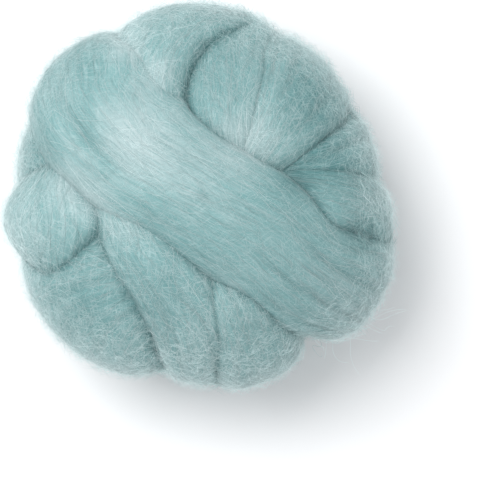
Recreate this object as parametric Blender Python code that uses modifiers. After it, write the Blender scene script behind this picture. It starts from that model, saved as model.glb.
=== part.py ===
"""A ball of wool roving: one loose, untwisted sliver wound over itself by hand, lying on a table.

Metres, +Z up. The origin is on the table under the middle of the ball, and +X and +Y are its right and its
top as it is seen from above.

Every turn of the sliver is a roll: a flat, puffy band laid along a path of stations over a soft core. The
rolls and the core are fused into one solid, as the wool itself is one piece, and the underside is pressed
flat where the ball rests.
"""

import math
from typing import NamedTuple

import bmesh
import bpy
from mathutils import Quaternion, Vector

MM = 0.001
BALL_NAME = "roving_ball"

# Driving dimensions
BALL_WIDTH = 118 * MM
CORE_RADIUS = 51 * MM
CORE_HALF_HEIGHT = 38.5 * MM
REST_DEPTH = 37.5 * MM
SPREAD_RADIUS = 54 * MM

# Section of a roll
SHOULDER_POWER = 2.3
CROWN_POWER = 1.55
ROLL_UNDERSIDE = 9 * MM
SEAM_REACH = 0.01 * MM

# How finely the rolls are laid, and how finely the fused surface follows them
SECTION_SIDES = 36
STEPS_PER_STATION = 10
CORE_SUBDIVISIONS = 5
FUSE_VOXEL = 1.4 * MM
FUSE_SMOOTHING = 8
FACE_SMOOTHING = 2
SOLID_TRIANGLES = 9600

WOOL_COLOUR = (0.33, 0.55, 0.56, 1.0)
WOOL_ROUGHNESS = 0.9
WOOL_METALLIC = 0.0


class Station(NamedTuple):
    """One place along a roll.

    azimuth and tilt, in degrees, say where the middle of the roll is: round the ball from +X, and down from
    its crown. left and right are how far the wool spreads to either side of that middle, ride is how high its
    edges lie over the core and loft is how thick it is above them, all in millimetres.
    """

    azimuth: float
    tilt: float
    left: float
    right: float
    ride: float
    loft: float


# The turns, from the deepest to the one on top. Each starts where it comes out from under the top turn.
TURNS = {
    "right_gap": (
        Station(16, 30, 10, 10, -4, 5),
        Station(15, 52, 16, 14, -1, 7),
        Station(17, 68, 17, 16, -2, 7),
        Station(17, 88, 18, 17, -3.5, 6.5),
        Station(14, 112, 20, 20, -3, 7),
        Station(4, 138, 18, 18, -2, 7),
        Station(-10, 165, 12, 12, -6, 5),
    ),
    "left_gap": (
        Station(161, 40, 12, 12, -4, 6),
        Station(163, 65, 16, 16, -1, 8),
        Station(166, 88, 19, 17, -1, 7.5),
        Station(174, 112, 24, 20, -1, 8),
        Station(184, 138, 20, 18, -1, 7),
        Station(200, 165, 13, 12, -6, 5),
    ),
    "top_groove": (
        Station(44, 18, 12, 12, -3, 6),
        Station(72, 34, 15, 14, 0, 9),
        Station(78, 50, 16, 18, -0.5, 9),
        Station(80, 66, 17, 19, -2, 8),
        Station(82, 88, 18, 19, -1.5, 8),
        Station(90, 114, 18, 18, -1, 8),
        Station(104, 140, 16, 16, -2, 7),
        Station(130, 166, 12, 12, -6, 5),
    ),
    "upper_right": (
        Station(34, 22, 10, 16, -3, 6),
        Station(48, 40, 12, 24, 0, 8.5),
        Station(54, 57, 15, 30, -0.5, 8),
        Station(57, 76, 18, 32, -2, 6.5),
        Station(57, 96, 19, 30, -2.5, 6.5),
        Station(60, 118, 20, 24, -2, 7.5),
        Station(68, 142, 18, 18, -2, 7),
        Station(95, 166, 12, 12, -6, 5),
    ),
    "lower_left": (
        Station(268, 20, 14, 12, -6, 5),
        Station(242, 37, 17, 17, -3, 8),
        Station(228, 55, 24, 29, 1, 9.5),
        Station(225, 74, 31, 34, 2, 9.5),
        Station(227, 96, 29, 28, 1.2, 9),
        Station(229, 118, 26, 23, 0.5, 8.5),
        Station(226, 142, 19, 19, -1, 7),
        Station(205, 166, 13, 13, -6, 5),
    ),
    "bottom_left": (
        Station(157, 46, 12, 12, -6, 5),
        Station(170, 38, 14, 14, -2, 8),
        Station(214, 29, 18, 19, 1, 9),
        Station(250, 37.5, 17, 18, 1.5, 9),
        Station(265.5, 51, 17, 17, 1.5, 8.5),
        Station(269, 70, 16, 16, 0, 8),
        Station(272, 92, 16, 17, -1.5, 8),
        Station(270, 116, 17, 17, -1, 8),
        Station(262, 141, 16, 16, -2, 7),
        Station(240, 166, 12, 12, -6, 5),
    ),
    "bottom_middle": (
        Station(280, 22, 12, 12, -3, 6),
        Station(286, 42, 16, 14, 1, 9),
        Station(287, 60, 18, 15, 1, 9),
        Station(286, 78, 18, 15, 1, 8.5),
        Station(285, 98, 19, 16, 0.5, 8),
        Station(290, 120, 20, 17, -1, 8),
        Station(302, 143, 19, 16, -1, 7),
        Station(325, 166, 12, 12, -6, 5),
    ),
    "top_girdle": (
        Station(128, 30, 18, 12, -3, 6),
        Station(111, 48, 24, 10, 1, 9),
        Station(98, 62, 26, 10, 2.5, 9),
        Station(86, 77, 24, 13, 0.5, 8),
        Station(73, 94, 22, 17, -4, 8),
        Station(60, 112, 20, 17, -4, 8),
        Station(42, 132, 18, 18, -3, 7),
        Station(10, 160, 13, 13, -7, 5),
    ),
    "right_girdle": (
        Station(8, 32, 9, 14, -3, 6),
        Station(0, 50, 11, 20, 0.5, 8.5),
        Station(-6, 66, 14, 20, -0.5, 8.5),
        Station(-15, 82, 20, 20, -0.5, 8.5),
        Station(-30, 97, 23, 20, -1, 8),
        Station(-50, 106, 22, 20, -6, 7),
        Station(-72, 118, 20, 20, -4, 8),
        Station(-100, 134, 16, 16, -3, 7),
        Station(-140, 162, 12, 12, -7, 5),
    ),
    "left_girdle": (
        Station(163, 66, 14, 20, -5, 7),
        Station(177, 62, 16, 28, 1, 9.5),
        Station(190, 62, 22, 29, 3, 11),
        Station(203, 66, 14, 28, 2, 9.5),
        Station(215, 76, 11, 27, -3.5, 8),
        Station(230, 90, 16, 18, -9, 7),
        Station(252, 108, 17, 17, -6, 7),
        Station(275, 134, 15, 15, -4, 7),
        Station(320, 162, 12, 12, -7, 5),
    ),
    "top_turn": (
        Station(70, 166, 12, 12, -6, 5),
        Station(88, 142, 18, 18, -2, 7),
        Station(100, 118, 20, 21, -3, 8),
        Station(115, 96, 13, 24, -6, 8),
        Station(127, 79, 14, 27, 0, 10),
        Station(135, 66, 25, 26, 3.5, 10.5),
        Station(144, 53, 28, 23.5, 3.5, 10.5),
        Station(151, 40, 29, 22, 3, 10),
        Station(157, 27, 29, 22, 3, 10),
        Station(162, 12, 26, 23.5, 3, 10),
        Station(-42, 9, 24, 25, 3, 10),
        Station(-34, 28, 23, 25, 3, 10),
        Station(-37, 45, 21, 23, 3, 10),
        Station(-36, 60, 21, 21, 3, 10),
        Station(-36, 77, 25, 15.5, 2.5, 9.5),
        Station(-35, 96, 25, 15.5, 2.5, 9),
        Station(-38, 118, 22, 19, 1, 8),
        Station(-48, 142, 20, 20, 0, 7),
        Station(-70, 166, 13, 13, -6, 5),
    ),
}


def clear_scene():
    """Removes every object the file holds."""
    for found in list(bpy.data.objects):
        bpy.data.objects.remove(found)


def compass(azimuth, tilt):
    """The unit vector at an azimuth round +Z and a tilt down from it, both in degrees."""
    around = math.radians(azimuth)
    down = math.radians(tilt)
    return Vector((math.sin(down) * math.cos(around), math.sin(down) * math.sin(around), math.cos(down)))


def core_radius(direction):
    """How far the core reaches from its centre in this direction."""
    across = math.hypot(direction.x, direction.y) / CORE_RADIUS
    upward = direction.z / CORE_HALF_HEIGHT
    return 1 / math.hypot(across, upward)


def smooth_step(values, share):
    """A Catmull-Rom curve's point between the second and the third of four values."""
    before, start, end, after = values
    straight = (end - before) * share
    bend = (before * 2 - start * 5 + end * 4 - after) * share**2
    turn = (start * 3 - before - end * 3 + after) * share**3
    return (start * 2 + straight + bend + turn) * 0.5


def station_fields(station):
    """A station as values that can be blended: its unit vector, then its spreads and heights in metres."""
    sizes = (station.left, station.right, station.ride, station.loft)
    return [compass(station.azimuth, station.tilt)] + [size * MM for size in sizes]


def path_of(stations):
    """The blended stations along a roll, closely and evenly spaced between the given ones."""
    fields = [station_fields(station) for station in stations]
    padded = [fields[0]] + fields + [fields[-1]]
    path = []
    for index in range(len(stations) - 1):
        around = padded[index : index + 4]
        for step in range(STEPS_PER_STATION):
            share = step / STEPS_PER_STATION
            path.append([smooth_step(values, share) for values in zip(*around)])
    path.append(list(fields[-1]))
    for place in path:
        place[0] = place[0].normalized()
    return path


def signed_power(value, power):
    """The value raised to a power with its sign kept."""
    return math.copysign(abs(value) ** power, value)


def section_point(place, leftward, angle):
    """The point of a roll's section at an angle round it, from its left edge over its top."""
    middle, left, right, ride, loft = place
    across = signed_power(math.cos(angle), 2 / SHOULDER_POWER)
    upward = signed_power(math.sin(angle), 2 / CROWN_POWER)
    spread = left if across > 0 else right
    thickness = loft if upward > 0 else ROLL_UNDERSIDE
    axis = middle.cross(leftward)
    direction = Quaternion(axis, across * spread / SPREAD_RADIUS) @ middle
    return direction * (core_radius(direction) + ride + thickness * upward)


def add_roll(rolls, stations):
    """Lays one turn of the sliver: a flat sheet rolled round its path, seamed along its length and capped."""
    path = path_of(stations)
    last = len(path) - 1
    leftwards = []
    for index, place in enumerate(path):
        ahead = path[min(index + 1, last)][0]
        behind = path[max(index - 1, 0)][0]
        leftwards.append(place[0].cross(ahead - behind).normalized())
    sheet = bmesh.ops.create_grid(rolls, x_segments=SECTION_SIDES, y_segments=last, size=1)["verts"]
    for vertex in sheet:
        angle = math.pi * (vertex.co.x + 1)
        index = round((vertex.co.y + 1) / 2 * last)
        vertex.co = section_point(path[index], leftwards[index], angle)
    bmesh.ops.remove_doubles(rolls, verts=sheet, dist=SEAM_REACH)
    open_ends = [edge for edge in rolls.edges if edge.is_boundary]
    bmesh.ops.holes_fill(rolls, edges=open_ends, sides=0)


def add_core(rolls):
    """The soft middle of the ball, which the turns lie on."""
    core = bmesh.ops.create_icosphere(rolls, subdivisions=CORE_SUBDIVISIONS, radius=1)["verts"]
    bmesh.ops.scale(rolls, verts=core, vec=(CORE_RADIUS, CORE_RADIUS, CORE_HALF_HEIGHT))


def wound_rolls():
    """The core and every turn over it, as closed shapes that run through one another."""
    rolls = bmesh.new()
    add_core(rolls)
    for stations in TURNS.values():
        add_roll(rolls, stations)
    bmesh.ops.recalc_face_normals(rolls, faces=rolls.faces)
    mesh = bpy.data.meshes.new(BALL_NAME)
    rolls.to_mesh(mesh)
    rolls.free()
    return mesh


def triangle_count(mesh):
    """How many triangles the faces of a mesh come to."""
    return sum(len(face.vertices) - 2 for face in mesh.polygons)


def evaluated_mesh(obj):
    """A new mesh of the object with its modifiers in it."""
    bpy.context.view_layer.update()
    graph = bpy.context.evaluated_depsgraph_get()
    return bpy.data.meshes.new_from_object(obj.evaluated_get(graph))


def fuse(obj):
    """Makes one skin of the core and the turns, softens it as wool is soft, and thins its faces."""
    skin = obj.modifiers.new("one skin", "REMESH")
    skin.mode = "VOXEL"
    skin.voxel_size = FUSE_VOXEL
    soften = obj.modifiers.new("soften", "SMOOTH")
    soften.iterations = FUSE_SMOOTHING
    fine = evaluated_mesh(obj)
    thin = obj.modifiers.new("fewer faces", "DECIMATE")
    thin.ratio = SOLID_TRIANGLES / triangle_count(fine)
    bpy.data.meshes.remove(fine)
    even = obj.modifiers.new("even out", "SMOOTH")
    even.iterations = FACE_SMOOTHING
    fused = evaluated_mesh(obj)
    obj.modifiers.clear()
    obj.data = fused


def press_flat(obj):
    """Cuts the flat spot that the ball rests on."""
    ball = bmesh.new()
    ball.from_mesh(obj.data)
    bmesh.ops.bisect_plane(
        ball,
        geom=ball.verts[:] + ball.edges[:] + ball.faces[:],
        plane_co=(0, 0, -REST_DEPTH),
        plane_no=(0, 0, -1),
        clear_outer=True,
    )
    rim = [edge for edge in ball.edges if edge.is_boundary]
    bmesh.ops.holes_fill(ball, edges=rim, sides=0)
    ball.to_mesh(obj.data)
    ball.free()


def set_on_table(obj):
    """Brings the ball to its full width and puts the middle of its underside at the origin."""
    lows = [min(vertex.co[axis] for vertex in obj.data.vertices) for axis in range(3)]
    highs = [max(vertex.co[axis] for vertex in obj.data.vertices) for axis in range(3)]
    growth = BALL_WIDTH / (highs[0] - lows[0])
    foot = Vector(((lows[0] + highs[0]) / 2, (lows[1] + highs[1]) / 2, lows[2]))
    for vertex in obj.data.vertices:
        vertex.co = (vertex.co - foot) * growth


def wool():
    """The matt, felted look of combed wool."""
    material = bpy.data.materials.new("combed_wool")
    material.use_nodes = True
    shader = material.node_tree.nodes["Principled BSDF"]
    shader.inputs["Base Color"].default_value = WOOL_COLOUR
    shader.inputs["Roughness"].default_value = WOOL_ROUGHNESS
    shader.inputs["Metallic"].default_value = WOOL_METALLIC
    return material


def build():
    """Makes the ball in a collection of its own."""
    clear_scene()
    collection = bpy.data.collections.new("wool_roving")
    bpy.context.scene.collection.children.link(collection)
    ball = bpy.data.objects.new(BALL_NAME, wound_rolls())
    collection.objects.link(ball)
    fuse(ball)
    press_flat(ball)
    set_on_table(ball)
    ball.data.materials.clear()
    ball.data.materials.append(wool())
    ball.data.shade_smooth()


build()
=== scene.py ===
"""A ball of wool roving as it looks: turns of one thick, untwisted sliver, combed, soft and a little fuzzy.

Metres, +Z up, in the frame of the solid. Each turn of the sliver is a closed, puffy roll with fine
lengthwise relief, laid along the same stations as in the solid, round a plain soft core. Single fibres lie
over the rolls: combed ones along each, curly ones that have worked loose and cross from roll to roll, and
short ones that stand off as fuzz. A few long strays reach out over the table on the shadow side. All pieces
together stand in for the one solid.
"""

import logging
import math
from dataclasses import dataclass, field
from enum import Enum

import bmesh
import bpy
import numpy as np
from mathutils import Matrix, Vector
from mathutils.bvhtree import BVHTree


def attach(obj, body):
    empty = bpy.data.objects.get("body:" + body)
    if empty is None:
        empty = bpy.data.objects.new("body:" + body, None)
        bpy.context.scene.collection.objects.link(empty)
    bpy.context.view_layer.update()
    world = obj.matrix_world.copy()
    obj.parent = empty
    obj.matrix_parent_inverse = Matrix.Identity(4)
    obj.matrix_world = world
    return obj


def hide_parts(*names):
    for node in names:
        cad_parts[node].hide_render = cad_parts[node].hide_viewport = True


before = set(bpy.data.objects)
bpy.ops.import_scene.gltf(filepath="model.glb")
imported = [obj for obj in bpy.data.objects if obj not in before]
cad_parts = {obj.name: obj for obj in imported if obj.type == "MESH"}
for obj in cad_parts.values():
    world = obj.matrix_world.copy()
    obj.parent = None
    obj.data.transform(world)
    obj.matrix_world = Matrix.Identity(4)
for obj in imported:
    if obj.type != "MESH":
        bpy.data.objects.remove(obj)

MM = 0.001
TINY = 1e-12
BODY = "root"
BALL_NODE = "roving_ball"
ALONG_MAP = "along_the_sliver"
TONE_AND_PAINTED_LIGHT = "tone_and_painted_light"
PAINTED_CREASE_SHADE = "painted_crease_shade"

Colour = tuple[float, float, float, float]

log = logging.getLogger("roving")


def compass(azimuth: float, tilt: float) -> tuple[float, float, float]:
    """The unit vector at an azimuth round +Z and a tilt down from it, both in degrees."""
    around, down = math.radians(azimuth), math.radians(tilt)
    return math.sin(down) * math.cos(around), math.sin(down) * math.sin(around), math.cos(down)


def unit(vectors: np.ndarray) -> np.ndarray:
    """The vectors at length 1."""
    return vectors / np.maximum(np.linalg.norm(vectors, axis=-1, keepdims=True), TINY)


def outward_normals(grid: np.ndarray) -> np.ndarray:
    """The normals of a surface that lies round the origin.

    Args:
        grid: Its points, in rows and columns.

    Returns:
        For each point the unit normal that leads away from the origin.
    """
    normals = unit(np.cross(np.gradient(grid, axis=0), np.gradient(grid, axis=1)))
    inward = (normals * grid).sum(-1, keepdims=True) < 0
    return np.where(inward, -normals, normals)


def read_chart(chart: np.ndarray, rows: np.ndarray, columns: np.ndarray) -> np.ndarray:
    """Reads a chart of numbers or vectors at places between its cells.

    Args:
        chart: The chart.
        rows: Where along its first side, counted in cells.
        columns: Where along its second side, of the same shape.

    Returns:
        What it holds there, blended from the four cells around each place.
    """
    low = np.clip(rows.astype(int), 0, chart.shape[0] - 2)
    near = np.clip(columns.astype(int), 0, chart.shape[1] - 2)
    past_row, past_column = rows - low, columns - near
    if chart.ndim > 2:
        past_row, past_column = past_row[..., None], past_column[..., None]
    start = chart[low, near] * (1 - past_column) + chart[low, near + 1] * past_column
    end = chart[low + 1, near] * (1 - past_column) + chart[low + 1, near + 1] * past_column
    return start * (1 - past_row) + end * past_row


def new_object(name: str, data: bpy.types.ID) -> bpy.types.Object:
    """Puts a new object into the scene.

    Args:
        name: Its name.
        data: Its mesh, lamp or camera.

    Returns:
        The object.
    """
    made = bpy.data.objects.new(name, data)
    bpy.context.scene.collection.objects.link(made)
    return made


def make_piece(name: str, shape: bmesh.types.BMesh) -> bpy.types.Object:
    """Turns a finished shape into a smooth piece.

    Args:
        name: The piece's name.
        shape: The shape, which is freed.

    Returns:
        The piece, linked to the scene.
    """
    mesh = bpy.data.meshes.new(name)
    shape.to_mesh(mesh)
    shape.free()
    mesh.shade_smooth()
    return new_object(name, mesh)


def lay_map(shape: bmesh.types.BMesh, places: dict[bmesh.types.BMVert, Vector]) -> None:
    """Gives a shape the map that runs across and along the sliver.

    Args:
        shape: The shape.
        places: Where each vertex is on the map, in metres.
    """
    wool_map = shape.loops.layers.uv.new(ALONG_MAP)
    for face in shape.faces:
        for corner in face.loops:
            corner[wool_map].uv = places[corner.vert]


def vertices_of(mesh: bpy.types.Mesh) -> np.ndarray:
    """Reads where a mesh's vertices are.

    Args:
        mesh: The mesh.

    Returns:
        A row of three numbers for each vertex.
    """
    places = np.empty(len(mesh.vertices) * 3)
    mesh.vertices.foreach_get("co", places)
    return places.reshape(-1, 3)


def write_values(mesh: bpy.types.Mesh, name: str, values: np.ndarray) -> None:
    """Stores a number at each vertex.

    Args:
        mesh: The mesh.
        name: What the numbers are called.
        values: One for each vertex.
    """
    stored = mesh.attributes.new(name, "FLOAT", "POINT")
    stored.data.foreach_set("value", values)


@dataclass(frozen=True)
class Station:
    """One place along a roll, as in the solid.

    azimuth and tilt, in degrees, say where the middle of the roll is: round the ball from +X, and down from
    its crown. left and right are how far the wool spreads to either side of that middle, ride is how high
    its edges lie over the core and loft is how thick it is above them, all in millimetres.
    """

    azimuth: float
    tilt: float
    left: float
    right: float
    ride: float
    loft: float

    def values(self) -> list[float]:
        """The unit vector of the place, then its four sizes in metres."""
        sizes = (self.left, self.right, self.ride, self.loft)
        return [*compass(self.azimuth, self.tilt), *(size * MM for size in sizes)]


@dataclass(frozen=True)
class Ball:
    """The sizes that all turns share, in metres.

    The core is a flattened ball, whose middle lies rest_depth over the table before it grows. The spread of
    a roll is measured on spread_radius, underside is how far it reaches into the core, and the two powers
    round its section. growth and the foot are how the solid was brought to its full width and set on the
    origin.
    """

    core_radius: float = 51 * MM
    core_half_height: float = 38.5 * MM
    rest_depth: float = 37.5 * MM
    spread_radius: float = 54 * MM
    underside: float = 9 * MM
    shoulder_power: float = 2.3
    crown_power: float = 1.55
    growth: float = 1.001048
    foot_x: float = -1.497 * MM
    foot_y: float = -0.263 * MM

    def core_reach(self, ways: np.ndarray) -> np.ndarray:
        """How far the core reaches from its middle along unit vectors."""
        across = np.hypot(ways[..., 0], ways[..., 1]) / self.core_radius
        return 1 / np.hypot(across, ways[..., 2] / self.core_half_height)

    def profile(self, across: np.ndarray) -> np.ndarray:
        """The height of a roll's section, 1 in the middle and 0 at its edges, at -1 to 1 across it."""
        return np.clip(1 - np.abs(across) ** self.shoulder_power, 0, 1) ** (1 / self.crown_power)

    def seat(self, points: np.ndarray) -> np.ndarray:
        """Takes points from round the core's middle to the frame, and presses them flat on the table.

        Args:
            points: Places round the middle of the core, three numbers each.

        Returns:
            The same places in the frame of the solid.
        """
        foot = np.array((self.foot_x, self.foot_y, -self.rest_depth))
        placed = (points - foot) * self.growth
        placed[..., 2] = np.maximum(placed[..., 2], 0)
        return placed

    def middle(self) -> Vector:
        """The middle of the core in the frame."""
        return Vector(self.seat(np.zeros((1, 3)))[0])


@dataclass(frozen=True)
class SmoothNoise:
    """Smooth noise from a square of random values, which repeats past its edges."""

    seed: int
    cells: int = 211

    def at(self, across: np.ndarray, along: np.ndarray) -> np.ndarray:
        """The noise at places counted in cells.

        Args:
            across: Cells along the first side of the square.
            along: Cells along its second side, of the same shape.

        Returns:
            Values from -1 to 1.
        """
        square = np.random.default_rng(self.seed).uniform(-1, 1, (self.cells, self.cells))
        return read_chart(np.pad(square, (0, 1), "wrap").T, self.eased(along), self.eased(across))

    def eased(self, places: np.ndarray) -> np.ndarray:
        """Brings places onto the square, and eases the way from each cell to the next.

        Args:
            places: Places counted in cells.

        Returns:
            The places at which to read the square.
        """
        whole = np.floor(places)
        part = places - whole
        return whole % self.cells + part * part * (3 - 2 * part)


@dataclass(frozen=True)
class Streaks:
    """One size of streak in combed wool.

    width and length are in metres. strength is how much the streaks show: a height or a shift in metres, or
    a share of the wool's tone. seed tells them from the wool's other streaks, and detail is how many finer
    sizes their noise holds.
    """

    width: float
    length: float
    strength: float
    seed: int = 0
    detail: float = 0


@dataclass(frozen=True)
class Furrow:
    """A soft trough that runs along a roll for a while.

    start and end are shares of the roll's length, across_start and across_end are its place at each, from
    -1, the right edge, to 1, the left edge, and width and depth are in millimetres. It deepens and fades as
    a sine to the power of swell.
    """

    start: float
    end: float
    across_start: float
    across_end: float
    width: float
    depth: float
    swell: float = 0.7

    def depth_at(self, share: np.ndarray, across: np.ndarray, half_width: float) -> np.ndarray:
        """How deep the trough is at places on the roll.

        Args:
            share: How far along the roll, from 0 to 1.
            across: Where across it, from -1 to 1.
            half_width: Half the roll's width in metres.

        Returns:
            Depths in metres.
        """
        along = (share - self.start) / (self.end - self.start)
        fade = np.sin(math.pi * np.clip(along, 0, 1)) ** self.swell
        middle = self.across_start + (self.across_end - self.across_start) * along
        away = (across - middle) * half_width / (self.width * MM)
        return self.depth * MM * fade * np.exp(-away * away)


@dataclass(frozen=True)
class Patch:
    """A soft round area of painted light or painted shade on the wool.

    right and back are where it is from the ball's middle, as seen from above, and spread is how far it
    reaches, in millimetres. strength is how much it differs in its middle.
    """

    right: float
    back: float
    spread: float
    strength: float

    def strength_at(self, offsets: np.ndarray) -> np.ndarray:
        """How much painted light or shade the patch gives at places counted from the ball's middle."""
        aside = np.hypot(offsets[..., 0] - self.right * MM, offsets[..., 1] - self.back * MM)
        return self.strength * np.exp(-((aside / (self.spread * MM)) ** 2))


# The turns of the sliver, from the deepest to the one that crosses the crown
TURNS: dict[str, tuple[Station, ...]] = {
    "right_gap": (
        Station(16, 30, 10, 10, -4, 5),
        Station(15, 52, 16, 14, -1, 7),
        Station(17, 68, 17, 16, -2, 7),
        Station(17, 88, 18, 17, -3.5, 6.5),
        Station(14, 112, 20, 20, -3, 7),
        Station(4, 138, 18, 18, -2, 7),
        Station(-10, 165, 12, 12, -6, 5),
    ),
    "left_gap": (
        Station(161, 40, 12, 12, -4, 6),
        Station(163, 65, 16, 16, -1, 8),
        Station(166, 88, 19, 17, -1, 7.5),
        Station(174, 112, 24, 20, -1, 8),
        Station(184, 138, 20, 18, -1, 7),
        Station(200, 165, 13, 12, -6, 5),
    ),
    "top_groove": (
        Station(44, 18, 12, 12, -3, 6),
        Station(72, 34, 15, 14, 0, 9),
        Station(78, 50, 16, 18, -0.5, 9),
        Station(80, 66, 17, 19, -2, 8),
        Station(82, 88, 18, 19, -1.5, 8),
        Station(90, 114, 18, 18, -1, 8),
        Station(104, 140, 16, 16, -2, 7),
        Station(130, 166, 12, 12, -6, 5),
    ),
    "upper_right": (
        Station(34, 22, 10, 16, -3, 6),
        Station(48, 40, 12, 24, 0, 8.5),
        Station(54, 57, 15, 30, -0.5, 8),
        Station(57, 76, 18, 32, -2, 6.5),
        Station(57, 96, 19, 30, -2.5, 6.5),
        Station(60, 118, 20, 24, -2, 7.5),
        Station(68, 142, 18, 18, -2, 7),
        Station(95, 166, 12, 12, -6, 5),
    ),
    "lower_left": (
        Station(268, 20, 14, 12, -6, 5),
        Station(242, 37, 17, 17, -3, 8),
        Station(228, 55, 24, 29, 1, 9.5),
        Station(225, 74, 31, 34, 2, 9.5),
        Station(227, 96, 29, 28, 1.2, 9),
        Station(229, 118, 26, 23, 0.5, 8.5),
        Station(226, 142, 19, 19, -1, 7),
        Station(205, 166, 13, 13, -6, 5),
    ),
    "bottom_left": (
        Station(157, 46, 12, 12, -6, 5),
        Station(170, 38, 14, 14, -2, 8),
        Station(214, 29, 18, 19, 1, 9),
        Station(250, 37.5, 17, 18, 1.5, 9),
        Station(265.5, 51, 17, 17, 1.5, 8.5),
        Station(269, 70, 16, 16, 0, 8),
        Station(272, 92, 16, 17, -1.5, 8),
        Station(270, 116, 17, 17, -1, 8),
        Station(262, 141, 16, 16, -2, 7),
        Station(240, 166, 12, 12, -6, 5),
    ),
    "bottom_middle": (
        Station(280, 22, 12, 12, -3, 6),
        Station(286, 42, 16, 14, 1, 9),
        Station(287, 60, 18, 15, 1, 9),
        Station(286, 78, 18, 15, 1, 8.5),
        Station(285, 98, 19, 16, 0.5, 8),
        Station(290, 120, 20, 17, -1, 8),
        Station(302, 143, 19, 16, -1, 7),
        Station(325, 166, 12, 12, -6, 5),
    ),
    "top_girdle": (
        Station(128, 30, 18, 12, -3, 6),
        Station(111, 48, 24, 10, 1, 9),
        Station(98, 62, 26, 10, 2.5, 9),
        Station(86, 77, 24, 13, 0.5, 8),
        Station(73, 94, 22, 17, -4, 8),
        Station(60, 112, 20, 17, -4, 8),
        Station(42, 132, 18, 18, -3, 7),
        Station(10, 160, 13, 13, -7, 5),
    ),
    "right_girdle": (
        Station(8, 32, 9, 14, -3, 6),
        Station(0, 50, 11, 20, 0.5, 8.5),
        Station(-6, 66, 14, 20, -0.5, 8.5),
        Station(-15, 82, 20, 20, -0.5, 8.5),
        Station(-30, 97, 23, 20, -1, 8),
        Station(-50, 106, 22, 20, -6, 7),
        Station(-72, 118, 20, 20, -4, 8),
        Station(-100, 134, 16, 16, -3, 7),
        Station(-140, 162, 12, 12, -7, 5),
    ),
    "left_girdle": (
        Station(163, 66, 14, 20, -5, 7),
        Station(177, 62, 16, 28, 1, 9.5),
        Station(190, 62, 22, 29, 3, 11),
        Station(203, 66, 14, 28, 2, 9.5),
        Station(215, 76, 11, 27, -3.5, 8),
        Station(230, 90, 16, 18, -9, 7),
        Station(252, 108, 17, 17, -6, 7),
        Station(275, 134, 15, 15, -4, 7),
        Station(320, 162, 12, 12, -7, 5),
    ),
    "top_turn": (
        Station(70, 166, 12, 12, -6, 5),
        Station(88, 142, 18, 18, -2, 7),
        Station(100, 118, 20, 21, -3, 8),
        Station(115, 96, 13, 24, -6, 8),
        Station(127, 79, 14, 27, 0, 10),
        Station(135, 66, 25, 26, 3.5, 10.5),
        Station(144, 53, 28, 23.5, 3.5, 10.5),
        Station(151, 40, 29, 22, 3, 10),
        Station(157, 27, 29, 22, 3, 10),
        Station(162, 12, 26, 23.5, 3, 10),
        Station(-42, 9, 24, 25, 3, 10),
        Station(-34, 28, 23, 25, 3, 10),
        Station(-37, 45, 21, 23, 3, 10),
        Station(-36, 60, 21, 21, 3, 10),
        Station(-36, 77, 25, 15.5, 2.5, 9.5),
        Station(-35, 96, 25, 15.5, 2.5, 9),
        Station(-38, 118, 22, 19, 1, 8),
        Station(-48, 142, 20, 20, 0, 7),
        Station(-70, 166, 13, 13, -6, 5),
    ),
}

RIDGES = (
    Streaks(11 * MM, 80 * MM, 0.22 * MM, 10),
    Streaks(4.5 * MM, 55 * MM, 0.12 * MM, 20),
    Streaks(2.0 * MM, 34 * MM, 0.06 * MM, 30),
)
WANDER = Streaks(14 * MM, 30 * MM, 1.6 * MM)

FURROWS: dict[str, tuple[Furrow, ...]] = {
    "top_turn": (
        Furrow(0.30, 0.47, -0.30, 0.02, 3.2, 1.5),
        Furrow(0.36, 0.62, 0.45, 0.55, 5.0, 0.7),
        Furrow(0.56, 0.80, -0.25, -0.15, 1.6, 1.1),
        Furrow(0.58, 0.80, 0.30, 0.22, 1.8, 1.1),
        Furrow(0.60, 0.82, -0.60, -0.55, 1.5, 0.9),
        Furrow(0.62, 0.82, 0.05, 0.0, 1.2, 0.8),
    ),
    "top_groove": (Furrow(0.05, 0.62, 0.62, 0.70, 3.0, 0.5),),
    "bottom_left": (
        Furrow(0.28, 0.60, -0.35, -0.30, 1.6, 0.7),
        Furrow(0.30, 0.66, 0.28, 0.35, 1.6, 0.8),
    ),
    "right_gap": (
        Furrow(0.05, 0.55, 0.15, 0.05, 2.0, 1.0),
        Furrow(0.02, 0.50, 0.55, 0.60, 2.5, 2.2),
    ),
    "upper_right": (
        Furrow(0.05, 0.45, -0.86, -0.86, 3.0, 1.5),
        Furrow(0.08, 0.55, 0.42, 0.30, 1.3, 0.6),
        Furrow(0.12, 0.60, 0.02, -0.05, 1.2, 0.5),
        Furrow(0.08, 0.55, -0.42, -0.50, 1.4, 0.8),
    ),
    "lower_left": (
        Furrow(0.12, 0.50, -0.30, -0.20, 1.3, 0.5),
        Furrow(0.15, 0.55, 0.25, 0.35, 1.3, 0.5),
    ),
}

# How much frizz lies on a roll, where it isn't full
FULL_FRIZZ = 1.0
FRIZZ = {"top_turn": 0.6, "top_groove": 0.85, "left_girdle": 0.8, "right_girdle": 0.7}

# How much painted shade darkens the crease where two rolls meet, where it isn't the common one
COMMON_CREASE = 0.3
CREASES = {
    "top_turn": {
        "top_girdle": 0.0,
        "left_gap": 0.0,
        "left_girdle": 0.0,
        "bottom_left": 0.1,
        "bottom_middle": 0.5,
        "top_groove": 0.5,
        "right_gap": 1.0,
        "right_girdle": 0.6,
    },
    "top_groove": {"top_girdle": 0.9, "upper_right": 0.2},
    "right_gap": {"upper_right": 0.7, "right_girdle": 0.4},
    "lower_left": {"left_girdle": 1.0, "bottom_left": 0.4},
    "bottom_left": {"left_girdle": 0.25, "bottom_middle": 0.5},
}
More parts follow.
